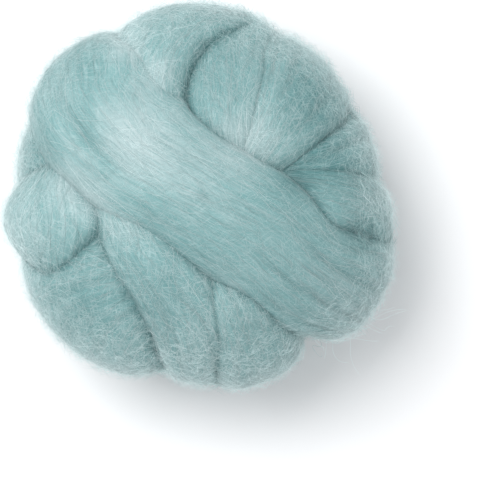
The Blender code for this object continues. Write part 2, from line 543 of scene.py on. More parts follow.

# Painted light on the wool: painted highlights, up to 1, and painted shade, down to -1
PAINTED_LIGHT_PATCHES = (
    # On the turn that crosses the crown
    Patch(-21, 17, 15, 0.85),
    Patch(-1, 5, 10, 0.3),
    Patch(-44, 30, 8, 0.3),
    Patch(41, -32, 10, 0.3),
    Patch(-31, 36, 9, -0.3),
    Patch(-36, 25, 4, -0.4),
    Patch(-33, 17, 4, -0.5),
    Patch(-29, 9, 4, -0.4),
    # Behind it
    Patch(-24, 45, 7, 0.7),
    Patch(-14, 37, 5, 0.6),
    Patch(6, 41, 5, -0.3),
    Patch(5, 29, 7, -0.4),
    Patch(15, 18, 11.5, 0.9),
    Patch(32, 28, 14, -0.8),
    # To its right
    Patch(28, 5, 6, -1.0),
    Patch(37, 11, 5, -0.4),
    Patch(42, 7, 8, -0.6),
    Patch(49, -11, 6, -0.7),
    Patch(51, -3, 6, 0.5),
    # To its left and before it
    Patch(-50, 14, 5, -0.5),
    Patch(-42, 4, 6, 0.6),
    Patch(-33, -2, 6, 0.6),
    Patch(-24, -10, 5, 0.5),
    Patch(-55, -11, 12, 0.55),
    Patch(-38, -32, 12, -0.4),
    Patch(-13, -33, 8, -0.4),
    Patch(-1, -44, 8, 0.3),
    Patch(10, -29, 6, 0.15),
)

# Painted shadow where a crease lets hardly any light in, up to 1, in chains that run along the crease
PAINTED_CREASE_SHADOWS = (
    # The groove behind the crown
    Patch(11, 51, 1.6, 0.5),
    Patch(5.6, 48.5, 1.8, 0.6),
    Patch(1, 45.5, 1.8, 0.7),
    Patch(-2, 42, 1.6, 0.5),
    Patch(-4, 37, 1.6, 0.5),
    Patch(-5, 32, 1.6, 0.6),
    # The corner where three rolls meet on the right, and the creases that run out from there
    Patch(26.4, 6.7, 2, 0.4),
    Patch(29.2, 4.3, 2, 0.6),
    Patch(31.3, 1.8, 1.8, 0.5),
    Patch(31, 11.3, 1.6, 0.4),
    Patch(36.2, 15, 1.6, 0.4),
    Patch(41.7, 19.2, 1.6, 0.4),
    Patch(45.3, -11.3, 2.5, 0.5),
    Patch(50.2, -13.7, 2.5, 0.5),
    # The creases on the left and below
    Patch(-32.8, -12.5, 1.8, 0.8),
    Patch(-35.3, -14.7, 1.6, 0.7),
    Patch(-38, -17.1, 1.6, 0.5),
    Patch(-22.4, -30.5, 1.6, 0.5),
    Patch(-20.3, -34.2, 1.6, 0.5),
    Patch(13.3, -30.8, 1.6, 0.4),
    Patch(17.2, -33.9, 1.6, 0.4),
    Patch(21.8, -37.6, 1.6, 0.4),
)


@dataclass
class Roll:
    """One turn of the sliver: a closed, puffy band on its path, with the relief that combing leaves.

    crowding is how far its upper columns draw together towards its edges, tangent_step is counted in
    stations, and edge_fade is the share of its half width over which the relief dies away.
    """

    name: str
    stations: tuple[Station, ...]
    ball: Ball
    seed: int
    furrows: tuple[Furrow, ...] = ()
    row_step: float = 2.6 * MM
    top_columns: int = 74
    under_columns: int = 8
    crowding: float = 0.55
    samples_per_station: int = 60
    tangent_step: float = 0.05
    edge_fade: float = 0.2
    seam_reach: float = 0.002 * MM
    length: float = field(init=False)
    half_width: float = field(init=False)
    steps: np.ndarray = field(init=False)
    columns: np.ndarray = field(init=False)
    top: np.ndarray = field(init=False)
    normals: np.ndarray = field(init=False)

    def __post_init__(self) -> None:
        """Works out the rows, the columns and the relieved surface once."""
        spreads = [(station.left, station.right) for station in self.stations]
        self.half_width = float(np.mean(spreads)) * MM
        fine = np.linspace(0, len(self.stations) - 1, self.samples_per_station * len(self.stations))
        line = self.surface(fine[:, None], np.zeros((1, 1)))[:, 0]
        travelled = np.concatenate(([0], np.cumsum(np.linalg.norm(np.diff(line, axis=0), axis=1))))
        self.length = float(travelled[-1])
        rows = round(self.length / self.row_step)
        along = np.linspace(0, self.length, rows + 1)
        self.steps = np.interp(along, travelled, fine)
        even = np.linspace(1, -1, self.top_columns + 1)
        self.columns = (1 - self.crowding) * even + self.crowding * np.sin(even * math.pi / 2)
        smooth = self.surface(self.steps[:, None], self.columns[None, :])
        height = self.relief(along[:, None], self.columns[None, :])
        self.top = smooth + outward_normals(smooth) * height[..., None]
        self.normals = outward_normals(self.top)

    def known(self) -> np.ndarray:
        """The stations as rows of values."""
        return np.array([station.values() for station in self.stations])

    def path(self, steps: np.ndarray) -> np.ndarray:
        """The blended stations, as a Catmull-Rom curve through them.

        Args:
            steps: Places along the path, counted in stations.

        Returns:
            For each place its unit vector and four sizes.
        """
        known = self.known()
        padded = np.concatenate((known[:1], known, known[-1:]))
        index = np.clip(np.floor(steps).astype(int), 0, len(known) - 2)
        share = (steps - index)[..., None]
        before, start, end, after = (padded[index + shift] for shift in range(4))
        straight = (end - before) * share
        bend = (before * 2 - start * 5 + end * 4 - after) * share**2
        turn = (start * 3 - before - end * 3 + after) * share**3
        places = (start * 2 + straight + bend + turn) * 0.5
        places[..., :3] = unit(places[..., :3])
        return places

    def surface(self, steps: np.ndarray, across: np.ndarray, under: bool = False) -> np.ndarray:
        """Points of the roll before its relief.

        Args:
            steps: Places along the path, counted in stations.
            across: Places across it, from 1 at the left edge to -1 at the right one.
            under: Whether they are on the underside.

        Returns:
            Points round the middle of the core, for every step and every place across.
        """
        places = self.path(steps)
        middle = places[..., :3]
        left, right, ride, loft = np.moveaxis(places[..., 3:], -1, 0)
        ahead = self.path(np.minimum(steps + self.tangent_step, len(self.stations) - 1))[..., :3]
        behind = self.path(np.maximum(steps - self.tangent_step, 0))[..., :3]
        leftward = unit(np.cross(middle, ahead - behind))
        angle = (across * np.where(across > 0, left, right) / self.ball.spread_radius)[..., None]
        ways = middle * np.cos(angle) + leftward * np.sin(angle)
        thickness = -self.ball.underside if under else loft
        reach = self.ball.core_reach(ways) + ride + thickness * self.ball.profile(across)
        return ways * reach[..., None]

    def streaked(self, streaks: Streaks, sideways: np.ndarray, along: np.ndarray) -> np.ndarray:
        """What one size of streak adds.

        Args:
            streaks: The streaks.
            sideways: Metres across the roll.
            along: Metres along it.

        Returns:
            Heights or shifts in metres.
        """
        noise = SmoothNoise(self.seed + streaks.seed)
        return streaks.strength * noise.at(sideways / streaks.width, along / streaks.length)

    def relief(self, along: np.ndarray, across: np.ndarray) -> np.ndarray:
        """How far combing and handling raise or sink the surface.

        Args:
            along: Metres along the roll.
            across: Places across it, from -1 to 1.

        Returns:
            Heights in metres, fading to nothing at the edges.
        """
        along, across = np.broadcast_arrays(along, across)
        sideways = across * self.half_width
        sideways = sideways + self.streaked(WANDER, sideways, along)
        height = sum(self.streaked(ridges, sideways, along) for ridges in RIDGES)
        for furrow in self.furrows:
            height = height - furrow.depth_at(along / self.length, across, self.half_width)
        return height * np.clip((1 - np.abs(across)) / self.edge_fade, 0, 1)

    def skin(self) -> bpy.types.Object:
        """Makes the roll's own piece: a sheet rolled round its path, seamed along its length and capped.

        Returns:
            The piece, with a map that runs across and along the sliver in metres.
        """
        under_even = np.linspace(-1, 1, self.under_columns + 1)[1:]
        under = self.surface(self.steps[:, None], under_even[None, :], under=True)
        ring = self.ball.seat(np.concatenate((self.top, under), axis=1))
        rows, around = ring.shape[0] - 1, ring.shape[1] - 1
        # The map goes on round the underside, at half its width
        across = np.concatenate((1 - self.columns, 2 + (1 + under_even) / 2)) * self.half_width
        roll = bmesh.new()
        sheet = bmesh.ops.create_grid(roll, x_segments=around, y_segments=rows, size=1)["verts"]
        places = {}
        for vertex in sheet:
            column = round((vertex.co.x + 1) / 2 * around)
            row = round((vertex.co.y + 1) / 2 * rows)
            places[vertex] = Vector((across[column], self.length * row / rows))
            vertex.co = ring[row, column]
        lay_map(roll, places)
        bmesh.ops.remove_doubles(roll, verts=sheet, dist=self.seam_reach)
        open_ends = [edge for edge in roll.edges if edge.is_boundary]
        bmesh.ops.holes_fill(roll, edges=open_ends, sides=0)
        bmesh.ops.recalc_face_normals(roll, faces=roll.faces)
        return make_piece(self.name, roll)

    def sample(self, along: np.ndarray, across: np.ndarray) -> tuple[np.ndarray, np.ndarray]:
        """Points of the relieved surface and its normals there.

        Args:
            along: Metres along the roll.
            across: Places across it, from -1 to 1, of the same shape.

        Returns:
            Points in the frame of the solid, and unit normals.
        """
        rows = self.top.shape[0] - 1
        row = np.clip(along / self.length * rows, 0, rows)
        column = np.interp(-across, -self.columns, np.arange(self.top_columns + 1))
        points = read_chart(self.top, row, column)
        return self.ball.seat(points), unit(read_chart(self.normals, row, column))


class Lay(Enum):
    """How a fibre lies on the ball."""

    COMBED = "combed along the sliver"
    LOOSE = "worked loose, and crossing from turn to turn"
    FUZZ = "standing off the wool"


@dataclass(frozen=True)
class Habit:
    """What the fibres of one lay have in common.

    All but the last three are in metres: low and high are how far off the wool the fibres lie, and rise is
    how far their free end may stand off it. curl is how sharply they turn at each step, in radians, and
    deepest and palest bound their shades.
    """

    shortest: float
    longest: float
    thickness: float
    low: float
    high: float
    rise: float
    curl: float
    deepest: float
    palest: float


HABITS = {
    Lay.COMBED: Habit(12 * MM, 25 * MM, 0.08 * MM, -0.03 * MM, 0.12 * MM, 0, 0.04, 0.28, 0.80),
    Lay.LOOSE: Habit(7 * MM, 18 * MM, 0.065 * MM, 0.05 * MM, 0.4 * MM, 0.6 * MM, 0.40, 0.52, 0.78),
    Lay.FUZZ: Habit(3 * MM, 6.5 * MM, 0.06 * MM, 0, 0.1 * MM, 3.4 * MM, 0.5, 0.60, 0.84),
}


@dataclass
class Strands:
    """Many fibres as lines of points, with what each needs to become a slim spindle."""

    points: np.ndarray
    normals: np.ndarray
    radii: np.ndarray
    shades: np.ndarray

    def __len__(self) -> int:
        """How many fibres there are."""
        return len(self.points)

    def kept(self, wanted: np.ndarray) -> "Strands":
        """Only the fibres that are wanted."""
        return Strands(self.points[wanted], self.normals[wanted], self.radii[wanted], self.shades[wanted])


@dataclass(frozen=True)
class Spindle:
    """The shape of one fibre: a slim closed spindle of few sides.

    taper is how much thinner it is at its ends, and the thinnest and the thickest fibre are shares of their
    habit's thickness.
    """

    sides: int = 3
    steps: int = 8
    taper: float = 0.35
    thinnest: float = 0.7
    thickest: float = 1.25

    def shares(self) -> np.ndarray:
        """How far along a fibre each of its points is, from 0 to 1, in one row."""
        return np.linspace(0, 1, self.steps + 1)[None, :]

    def body(self, habit: Habit, dice: np.random.Generator, count: int) -> tuple[np.ndarray, np.ndarray]:
        """The radii of fibres along their length, and their shades.

        Args:
            habit: What they have in common.
            dice: The source of chance.
            count: How many they are.

        Returns:
            A row of radii for each fibre, and a shade from 0 to 1 for each.
        """
        thickness = habit.thickness * dice.uniform(self.thinnest, self.thickest, (count, 1))
        radii = thickness / 2 * (1 - self.taper * np.abs(self.shares() * 2 - 1))
        return radii, dice.uniform(habit.deepest, habit.palest, count)

    def straight(self) -> bpy.types.Object:
        """Makes one straight spindle.

        Returns:
            The spindle, whose z counts its steps and whose x and y are its section.
        """
        spindle = bmesh.new()
        bmesh.ops.create_cone(
            spindle, cap_ends=False, segments=self.sides, radius1=1, radius2=1, depth=self.steps
        )
        lengths = [edge for edge in spindle.edges if not edge.is_boundary]
        bmesh.ops.subdivide_edges(spindle, edges=lengths, cuts=self.steps - 1)
        bmesh.ops.translate(spindle, verts=spindle.verts, vec=(0, 0, self.steps / 2))
        for end in (0, self.steps):
            tip = [vertex for vertex in spindle.verts if round(vertex.co.z) == end]
            bmesh.ops.pointmerge(spindle, verts=tip, merge_co=(0, 0, end))
        bmesh.ops.recalc_face_normals(spindle, faces=spindle.faces)
        return make_piece("spindle", spindle)

    def bent(self, straight: np.ndarray, strands: Strands) -> np.ndarray:
        """The vertices of all spindles, bent along their fibres.

        Args:
            straight: The vertices of the straight spindle.
            strands: The fibres.

        Returns:
            Points, a row of them for each fibre.
        """
        step = np.round(straight[:, 2]).astype(int)
        ways = unit(np.gradient(strands.points, axis=1))
        sideways = unit(np.cross(strands.normals, ways))
        upward = np.cross(ways, sideways)
        out = sideways[:, step] * straight[:, 0, None] + upward[:, step] * straight[:, 1, None]
        return strands.points[:, step] + out * strands.radii[:, step, None]

    def spun(self, name: str, strands: Strands) -> bpy.types.Object:
        """Makes one piece of many fibres, from an array of the straight spindle.

        Args:
            name: The piece's name.
            strands: The fibres.

        Returns:
            The piece, with each fibre's shade as an attribute.
        """
        source = self.straight()
        straight = vertices_of(source.data)
        rank = source.modifiers.new("one for each fibre", "ARRAY")
        rank.count = len(strands)
        rank.use_relative_offset = False
        rank.use_constant_offset = False
        bpy.context.view_layer.update()
        graph = bpy.context.evaluated_depsgraph_get()
        mesh = bpy.data.meshes.new_from_object(source.evaluated_get(graph))
        bpy.data.objects.remove(source)
        mesh.vertices.foreach_set("co", self.bent(straight, strands).ravel())
        write_values(mesh, TONE_AND_PAINTED_LIGHT, np.repeat(strands.shades, len(straight)))
        mesh.update()
        return new_object(name, mesh)


@dataclass
class CombedCoat:
    """The fibres that lie combed along one roll, and the strays among them that lie aslant.

    density counts fibres to the square metre. drift and slant are how far fibres and strays head away from
    the roll's own way, in radians. A fibre swings by wave once in every crimp of its length. sinking is the
    power by which most fibres lie low, and arching shapes their bow. aslant is the share of strays, and the
    fields that begin with it say how they differ.
    """

    roll: Roll
    spindle: Spindle
    habit: Habit = HABITS[Lay.COMBED]
    density: float = 0.27e6
    drift: float = 0.07
    slant: float = 0.34
    crimp: float = 10 * MM
    wave: float = 0.24 * MM
    sinking: float = 1.5
    arching: float = 0.6
    aslant: float = 0.42
    aslant_curl: float = 6
    aslant_lift: float = 0.3 * MM
    aslant_shade: float = 0.14

    def strands(self, dice: np.random.Generator) -> Strands:
        """Lays fibres over the whole roll, also where another will cover them.

        Args:
            dice: The source of chance, seeded for the roll.

        Returns:
            The fibres.
        """
        half_width = self.roll.half_width
        count = round(self.roll.length * half_width * 2 * self.density)
        size = (count, 1)
        share = self.spindle.shares()
        length = dice.uniform(self.habit.shortest, self.habit.longest, size)
        frizz = FRIZZ.get(self.roll.name, FULL_FRIZZ)
        strays = dice.uniform(0, 1, size) < self.aslant * frizz
        slant = self.slant * frizz * strays
        heading = dice.normal(0, self.drift, size) + dice.normal(0, 1, size) * slant
        heading = heading + dice.normal(0, self.habit.curl * (1 + self.aslant_curl * strays)) * share
        reach = (share - 0.5) * length
        along = dice.uniform(0, self.roll.length, size) + reach * np.cos(heading)
        phase = dice.uniform(0, math.tau, size)
        swing = dice.normal(0, self.wave, size) * np.sin(reach / self.crimp * math.tau + phase)
        place = dice.uniform(-1, 1, size) + (reach * np.sin(heading) + swing) / half_width
        points, normals = self.roll.sample(along, np.clip(place, -1, 1))
        lift = dice.uniform(0, 1, size) ** self.sinking * (self.habit.high - self.habit.low)
        lift = (lift + self.aslant_lift * strays) * np.sin(math.pi * share) ** self.arching
        points = points + normals * (self.habit.low + lift)[..., None]
        radii, shades = self.spindle.body(self.habit, dice, count)
        return Strands(points, normals, radii, shades + self.aslant_shade * frizz * strays[:, 0])


@dataclass
class Outside:
    """Charts of the wound wool as it is seen from the middle of the ball.

    A chart has a row for each tilt down from +Z and a column for each azimuth. reach holds how far the wool
    goes, smooth the same without its creases, frizz how much loose hair lies on it, and seams how much
    painted shade darkens the creases between the rolls. furthest, full_hollow and girdle are in metres, and
    bridge and seam are counted in cells. The frizz grows from the tilt frizzy_from and is full frizzy_over
    degrees below it.
    """

    middle: Vector
    skins: list[bpy.types.Object]
    rows: int = 360
    columns: int = 720
    furthest: float = 0.2
    bridge: int = 9
    seam: int = 1
    full_hollow: float = 1.5 * MM
    girdle: float = 14 * MM
    girdle_painted_light: float = 0.5
    frizzy_from: float = 55
    frizzy_over: float = 20
    reach: np.ndarray = field(init=False)
    smooth: np.ndarray = field(init=False)
    frizz: np.ndarray = field(init=False)
    seams: np.ndarray = field(init=False)

    def __post_init__(self) -> None:
        """Draws the charts."""
        owner = self.felt()
        self.smooth = self.softened(self.reach, self.bridge)
        tilts = np.linspace(0, 180, self.rows + 1)[:, None]
        below = np.clip((tilts - self.frizzy_from) / self.frizzy_over, 0, 1)
        frizz = np.array([FRIZZ.get(skin.name, FULL_FRIZZ) for skin in self.skins])
        self.frizz = np.maximum(frizz[owner], below)
        # Painted shade along the creases between the rolls
        creases = self.creases()
        lines = np.maximum(creases[owner, np.roll(owner, 1, 0)], creases[owner, np.roll(owner, 1, 1)])
        self.seams = np.clip(self.softened(lines, self.seam) * (2 * self.seam + 1), 0, 1)

    def felt(self) -> np.ndarray:
        """Feels the wool along rays from outside to the middle, and charts its reach.

        Returns:
            A chart of which skin each ray meets first, by its number.
        """
        wool = bmesh.new()
        owners = []
        for number, skin in enumerate(self.skins):
            wool.from_mesh(skin.data)
            owners += [number] * len(skin.data.polygons)
        tree = BVHTree.FromBMesh(wool)
        wool.free()
        self.reach = np.zeros((self.rows + 1, self.columns + 1))
        owner = np.zeros(self.reach.shape, int)
        for row in range(self.rows + 1):
            for column in range(self.columns):
                way = Vector(compass(360 * column / self.columns, 180 * row / self.rows))
                face, found = tree.ray_cast(self.middle + way * self.furthest, -way, self.furthest)[2:]
                if face is not None:
                    self.reach[row, column] = self.furthest - found
                    owner[row, column] = owners[face]
        for chart in (self.reach, owner):
            chart[:, -1] = chart[:, 0]
        return owner

    def creases(self) -> np.ndarray:
        """Looks up the creases between all skins.

        Returns:
            How much painted shade darkens the crease between two skins, and 0 between a skin and itself.
        """
        names = [skin.name for skin in self.skins]
        creases = COMMON_CREASE * (1 - np.eye(len(names)))
        for first, others in CREASES.items():
            for second, shade in others.items():
                pair = names.index(first), names.index(second)
                creases[pair] = creases[pair[::-1]] = shade
        return creases

    def softened(self, chart: np.ndarray, cells: int) -> np.ndarray:
        """A chart with its fine shape blurred away.

        Args:
            chart: The chart.
            cells: How many cells to every side the blur takes in.

        Returns:
            The mean over the square around each cell.
        """
        wide = np.pad(chart, ((cells, cells), (0, 0)), "edge")
        wide = np.pad(wide[:, :-1], ((0, 0), (cells, cells + 1)), "wrap")
        shifts = range(2 * cells + 1)
        tall = sum(wide[shift : shift + self.rows + 1] for shift in shifts)
        return sum(tall[:, shift : shift + self.columns + 1] for shift in shifts) / len(shifts) ** 2

    def read(self, chart: np.ndarray, ways: np.ndarray) -> np.ndarray:
        """What a chart holds in directions.

        Args:
            chart: One of the charts.
            ways: Unit vectors.

        Returns:
            A number for each.
        """
        row = np.arccos(np.clip(ways[..., 2], -1, 1)) / math.pi * self.rows
        column = (np.arctan2(ways[..., 1], ways[..., 0]) / math.tau % 1) * self.columns
        return read_chart(chart, row, column)

    def seen(self, points: np.ndarray) -> tuple[np.ndarray, np.ndarray]:
        """Where points are as seen from the ball's middle.

        Args:
            points: Places in the frame.

        Returns:
            The unit vectors towards them, and how far away they are.
        """
        away = points - np.array(self.middle)
        distance = np.linalg.norm(away, axis=-1)
        return away / distance[..., None], distance

    def patched(self, points: np.ndarray, patches: tuple[Patch, ...]) -> np.ndarray:
        """What patches add up to at points."""
        offsets = points - np.array(self.middle)
        return sum(patch.strength_at(offsets) for patch in patches)

    def crease_shade_at(self, points: np.ndarray) -> np.ndarray:
        """Painted crease shade at points: by depth in a crease, less under highlights, more at shadow spots.

        Args:
            points: Places in the frame.

        Returns:
            0 on the open wool to 1, full painted shade, deep in a crease.
        """
        ways, distance = self.seen(points)
        depth = (self.read(self.smooth, ways) - distance) / self.full_hollow
        # Painted highlights take the painted crease shade away
        closed = 1 - np.clip(self.patched(points, PAINTED_LIGHT_PATCHES), 0, 1)
        creased = (np.maximum(depth, 0) + self.read(self.seams, ways)) * closed
        # Painted shadow spots, on the upper half only
        above = points[..., 2] > self.middle.z
        return np.clip(creased + self.patched(points, PAINTED_CREASE_SHADOWS) * above, 0, 1)

    def shade(self, points: np.ndarray) -> np.ndarray:
        """Painted light at points, from -1 to 1: painted highlights and shade, and a pale painted girdle."""
        # A painted pale band round the girdle, where light comes through the fuzz at the rim
        rim = self.girdle_painted_light * np.exp(-(((points[..., 2] - self.middle.z) / self.girdle) ** 2))
        return np.clip(self.patched(points, PAINTED_LIGHT_PATCHES) + rim, -1, 1)

    def shows(self, points: np.ndarray, sunk: float) -> np.ndarray:
        """Tells which points are not deeper in the wool than a given depth."""
        ways, distance = self.seen(points)
        return distance > self.read(self.reach, ways) - sunk


@dataclass
class Crawlers:
    """Fibres that wander over the whole ball, whichever turn is on top, and bridge the creases.

    They start between the tilts highest and lowest, in degrees. A fibre keeps the share inertia of each turn
    and adds unrest times its habit's curl. standing is the power by which most free ends lie low. Where
    there is less frizz, the fibres are fewer and deeper, by smoothed_shade.
    """

    outside: Outside
    spindle: Spindle
    habit: Habit
    count: int
    highest: float = 0
    lowest: float = 112
    mean_reach: float = 52 * MM
    inertia: float = 0.6
    unrest: float = 0.8
    standing: float = 1.2
    smoothed_shade: float = 0.35

    def walked(self, dice: np.random.Generator) -> np.ndarray:
        """Lets fibres start anywhere and curl over the wool.

        Args:
            dice: The source of chance.

        Returns:
            The unit vectors of every fibre's points.
        """
        size = (self.count, 1)
        bounds = math.cos(math.radians(self.lowest)), math.cos(math.radians(self.highest))
        height = dice.uniform(*bounds, self.count)
        around = dice.uniform(0, math.tau, self.count)
        flat = np.sqrt(1 - height * height)
        way = np.stack((flat * np.cos(around), flat * np.sin(around), height), -1)
        heading = unit(np.cross(way, dice.normal(0, 1, (self.count, 3))))
        length = dice.uniform(self.habit.shortest, self.habit.longest, size)
        stride = length / self.spindle.steps / self.mean_reach
        turn = dice.normal(0, self.habit.curl, size)
        ways = [way]
        for _ in range(self.spindle.steps):
            turn = turn * self.inertia + dice.normal(0, self.habit.curl * self.unrest, size)
            heading = heading * np.cos(turn) + np.cross(way, heading) * np.sin(turn)
            way = unit(way + heading * stride)
            heading = unit(heading - way * (heading * way).sum(-1, keepdims=True))
            ways.append(way)
        return np.stack(ways, 1)

    def strands(self, dice: np.random.Generator) -> Strands:
        """Lays the fibres on the wool, a little slack where it dips, with one end free.

        Args:
            dice: The source of chance.

        Returns:
            The fibres.
        """
        size = (self.count, 1)
        ways = self.walked(dice)
        reach = self.outside.read(self.outside.reach, ways)
        slack = reach.copy()
        slack[:, 1:-1] = (reach[:, :-2] + reach[:, 1:-1] + reach[:, 2:]) / 3
        lift = dice.uniform(self.habit.low, self.habit.high, size)
        free = dice.uniform(0, 1, size) ** self.standing * self.habit.rise * self.spindle.shares()
        reach = np.maximum(reach, slack) + lift + free
        points = np.array(self.outside.middle) + ways * reach[..., None]
        points[..., 2] = np.maximum(points[..., 2], self.habit.thickness)
        strands = Strands(points, ways, *self.spindle.body(self.habit, dice, self.count))
        frizz = self.outside.read(self.outside.frizz, ways[:, self.spindle.steps // 2])
        strands.shades -= self.smoothed_shade * (1 - frizz)
        return strands.kept(dice.uniform(0, 1, self.count) < np.maximum(frizz, self.highest > 0))


@dataclass
class Flyaways:
    """Long pale fibres that reach out from the shadow side of the ball, over the table.

    Pairs are the least and the most that chance gives: azimuths and the sweep on from them in degrees,
    heights in metres, and the turns of a wave in radians from root to tip. crowding is the power by which
    most fibres stay near the rim.
    """

    middle: Vector
    spindle: Spindle
    count: int = 24
    azimuths: tuple[float, float] = (305, 324)
    sweep: tuple[float, float] = (-2, 14)
    rim: float = 55 * MM
    furthest: float = 21 * MM
    nearest: float = 0.2
    crowding: float = 1.4
    paces: tuple[float, float] = (0.7, 1.4)
    wave: float = 0.9 * MM
    wave_turns: tuple[float, float] = (6, 14)
    wave_starts: tuple[float, float] = (0, 6)
    sway: float = 1.8 * MM
    sway_turns: tuple[float, float] = (4, 9)
    heights: tuple[float, float] = (24 * MM, 42 * MM)
    droop: tuple[float, float] = (0, 0.4)
    lowest: float = 0.3 * MM
    thickness: float = 0.11 * MM
    shades: tuple[float, float] = (0.9, 1)

    def strands(self, dice: np.random.Generator) -> Strands:
        """Draws the strays as slack waves that leave the rim.

        Args:
            dice: The source of chance.

        Returns:
            The fibres.
        """
        size = (self.count, 1)
        share = self.spindle.shares()
        start = dice.uniform(*self.azimuths, size)
        azimuth = np.radians(start + dice.uniform(*self.sweep, size) * share)
        out = dice.uniform(self.nearest, 1, size) ** self.crowding * self.furthest
        swing = dice.normal(0, self.wave, size)
        turned = share * dice.uniform(*self.wave_turns, size)
        wave = swing * np.sin(turned + dice.uniform(*self.wave_starts, size))
        reach = self.rim + out * share ** dice.uniform(*self.paces, size) + wave
        sway = dice.normal(0, self.sway, size) * np.sin(share * dice.uniform(*self.sway_turns, size))
        height = dice.uniform(*self.heights, size) * (1 - share * dice.uniform(*self.droop, size)) + wave
        place = azimuth + sway / self.rim
        upward = np.maximum(height, self.lowest)
        points = np.stack((reach * np.cos(place), reach * np.sin(place), upward), -1)
        points = points + np.array((self.middle.x, self.middle.y, 0))
        normals = np.zeros_like(points) + np.array((0, 0, 1))
        radii = self.thickness / 2 * (1 - self.spindle.taper * share) * np.ones(size)
        return Strands(points, normals, radii, dice.uniform(*self.shades, self.count))


@dataclass(frozen=True)
class Wire:
    """A socket of numbers in a material, which Python's operators turn into Math nodes."""

    graph: "Graph"
    socket: bpy.types.NodeSocket

    def maths(self, operation: str, first: "Wire | float", second: "Wire | float") -> "Wire":
        """Adds one Math node.

        Args:
            operation: What it does.
            first: Its first value or wire.
            second: Its second one.

        Returns:
            Its result.
        """
        node = self.graph.node("ShaderNodeMath", {"operation": operation}, {0: first, 1: second})
        return Wire(self.graph, node.outputs[0])

    def __add__(self, other: "Wire | float") -> "Wire":
        """The sum."""
        return self.maths("ADD", self, other)

    def __radd__(self, other: float) -> "Wire":
        """The sum, reflected."""
        return self.maths("ADD", other, self)

    def __sub__(self, other: "Wire | float") -> "Wire":
        """The difference."""
        return self.maths("SUBTRACT", self, other)

    def __rsub__(self, other: float) -> "Wire":
        """The difference, reflected."""
        return self.maths("SUBTRACT", other, self)

    def __mul__(self, other: "Wire | float") -> "Wire":
        """The product."""
        return self.maths("MULTIPLY", self, other)

    def __rmul__(self, other: float) -> "Wire":
        """The product, reflected."""
        return self.maths("MULTIPLY", other, self)


@dataclass(frozen=True)
class Fade:
    """How one look comes in over another: not at all at start, and by the share most from full on."""

    start: float
    full: float
    most: float = 1


@dataclass(frozen=True)
class Graph:
    """The nodes of one material. finer_share is how much the finer sizes of a noise show."""

    tree: bpy.types.NodeTree
    finer_share: float = 0.6

    def node(
        self, kind: str, settings: dict[str, object], values: dict[str | int, object]
    ) -> bpy.types.Node:
        """Adds a node.

        Args:
            kind: Its type.
            settings: Its properties, which are set first.
            values: Its inputs by name or number, as wires, sockets or plain values.

        Returns:
            The node.
        """
        node = self.tree.nodes.new(kind)
        for name, value in settings.items():
            setattr(node, name, value)
        for name, value in values.items():
            socket = value.socket if isinstance(value, Wire) else value
            if isinstance(socket, bpy.types.NodeSocket):
                self.tree.links.new(socket, node.inputs[name])
            else:
                node.inputs[name].default_value = socket
        return node

    def surface(self, values: dict[str | int, object]) -> None:
        """Adds the shader of the material's surface.

        Args:
            values: The shader's inputs by name.
        """
        shader = self.node("ShaderNodeBsdfPrincipled", {}, values)
        self.node("ShaderNodeOutputMaterial", {}, {"Surface": shader.outputs[0]})

    def noise(self, across: Wire, along: Wire, streaks: Streaks, seed: float) -> Wire:
        """Streaky noise that follows the sliver.

        Args:
            across: Metres across the sliver.
            along: Metres along it.
            streaks: The size of a streak.
            seed: Which wool it is in.

        Returns:
            The noise, from 0 to 1.
        """
        scaled = {0: across * (1 / streaks.width), 1: along * (1 / streaks.length), 2: seed + streaks.seed}
        place = self.node("ShaderNodeCombineXYZ", {}, scaled)
        finer = {"Detail": streaks.detail, "Roughness": self.finer_share}
        values = {"Vector": place.outputs[0], "Scale": 1} | finer
        return Wire(self, self.node("ShaderNodeTexNoise", {}, values).outputs[0])

    def own(self, name: str) -> Wire:
        """The number that the mesh stores under a name."""
        node = self.node("ShaderNodeAttribute", {"attribute_name": name}, {})
        return Wire(self, node.outputs["Fac"])

    def fade(self, value: Wire, fade: Fade) -> Wire:
        """How far a look has come in at a value."""
        ends = {"Value": value, "From Min": fade.start, "From Max": fade.full, "To Max": fade.most}
        return Wire(self, self.node("ShaderNodeMapRange", {"clamp": True}, ends).outputs[0])

    def blend(
        self, share: Wire, first: Colour | bpy.types.NodeSocket, second: Colour | bpy.types.NodeSocket
    ) -> bpy.types.NodeSocket:
        """A colour between two others.

        Args:
            share: How far it lies towards the second.
            first: The first colour or its socket.
            second: The second one.

        Returns:
            The colour's socket.
        """
        settings = {"data_type": "RGBA", "clamp_factor": True}
        return self.node("ShaderNodeMix", settings, {0: share, 6: first, 7: second}).outputs[2]


def new_material(name: str) -> tuple[bpy.types.Material, Graph]:
    """An empty material and its graph.

    Args:
        name: The material's name.

    Returns:
        The material, and its graph with no node in it.
    """
    material = bpy.data.materials.new(name)
    material.use_nodes = True
    material.node_tree.nodes.clear()
    return material, Graph(material.node_tree)


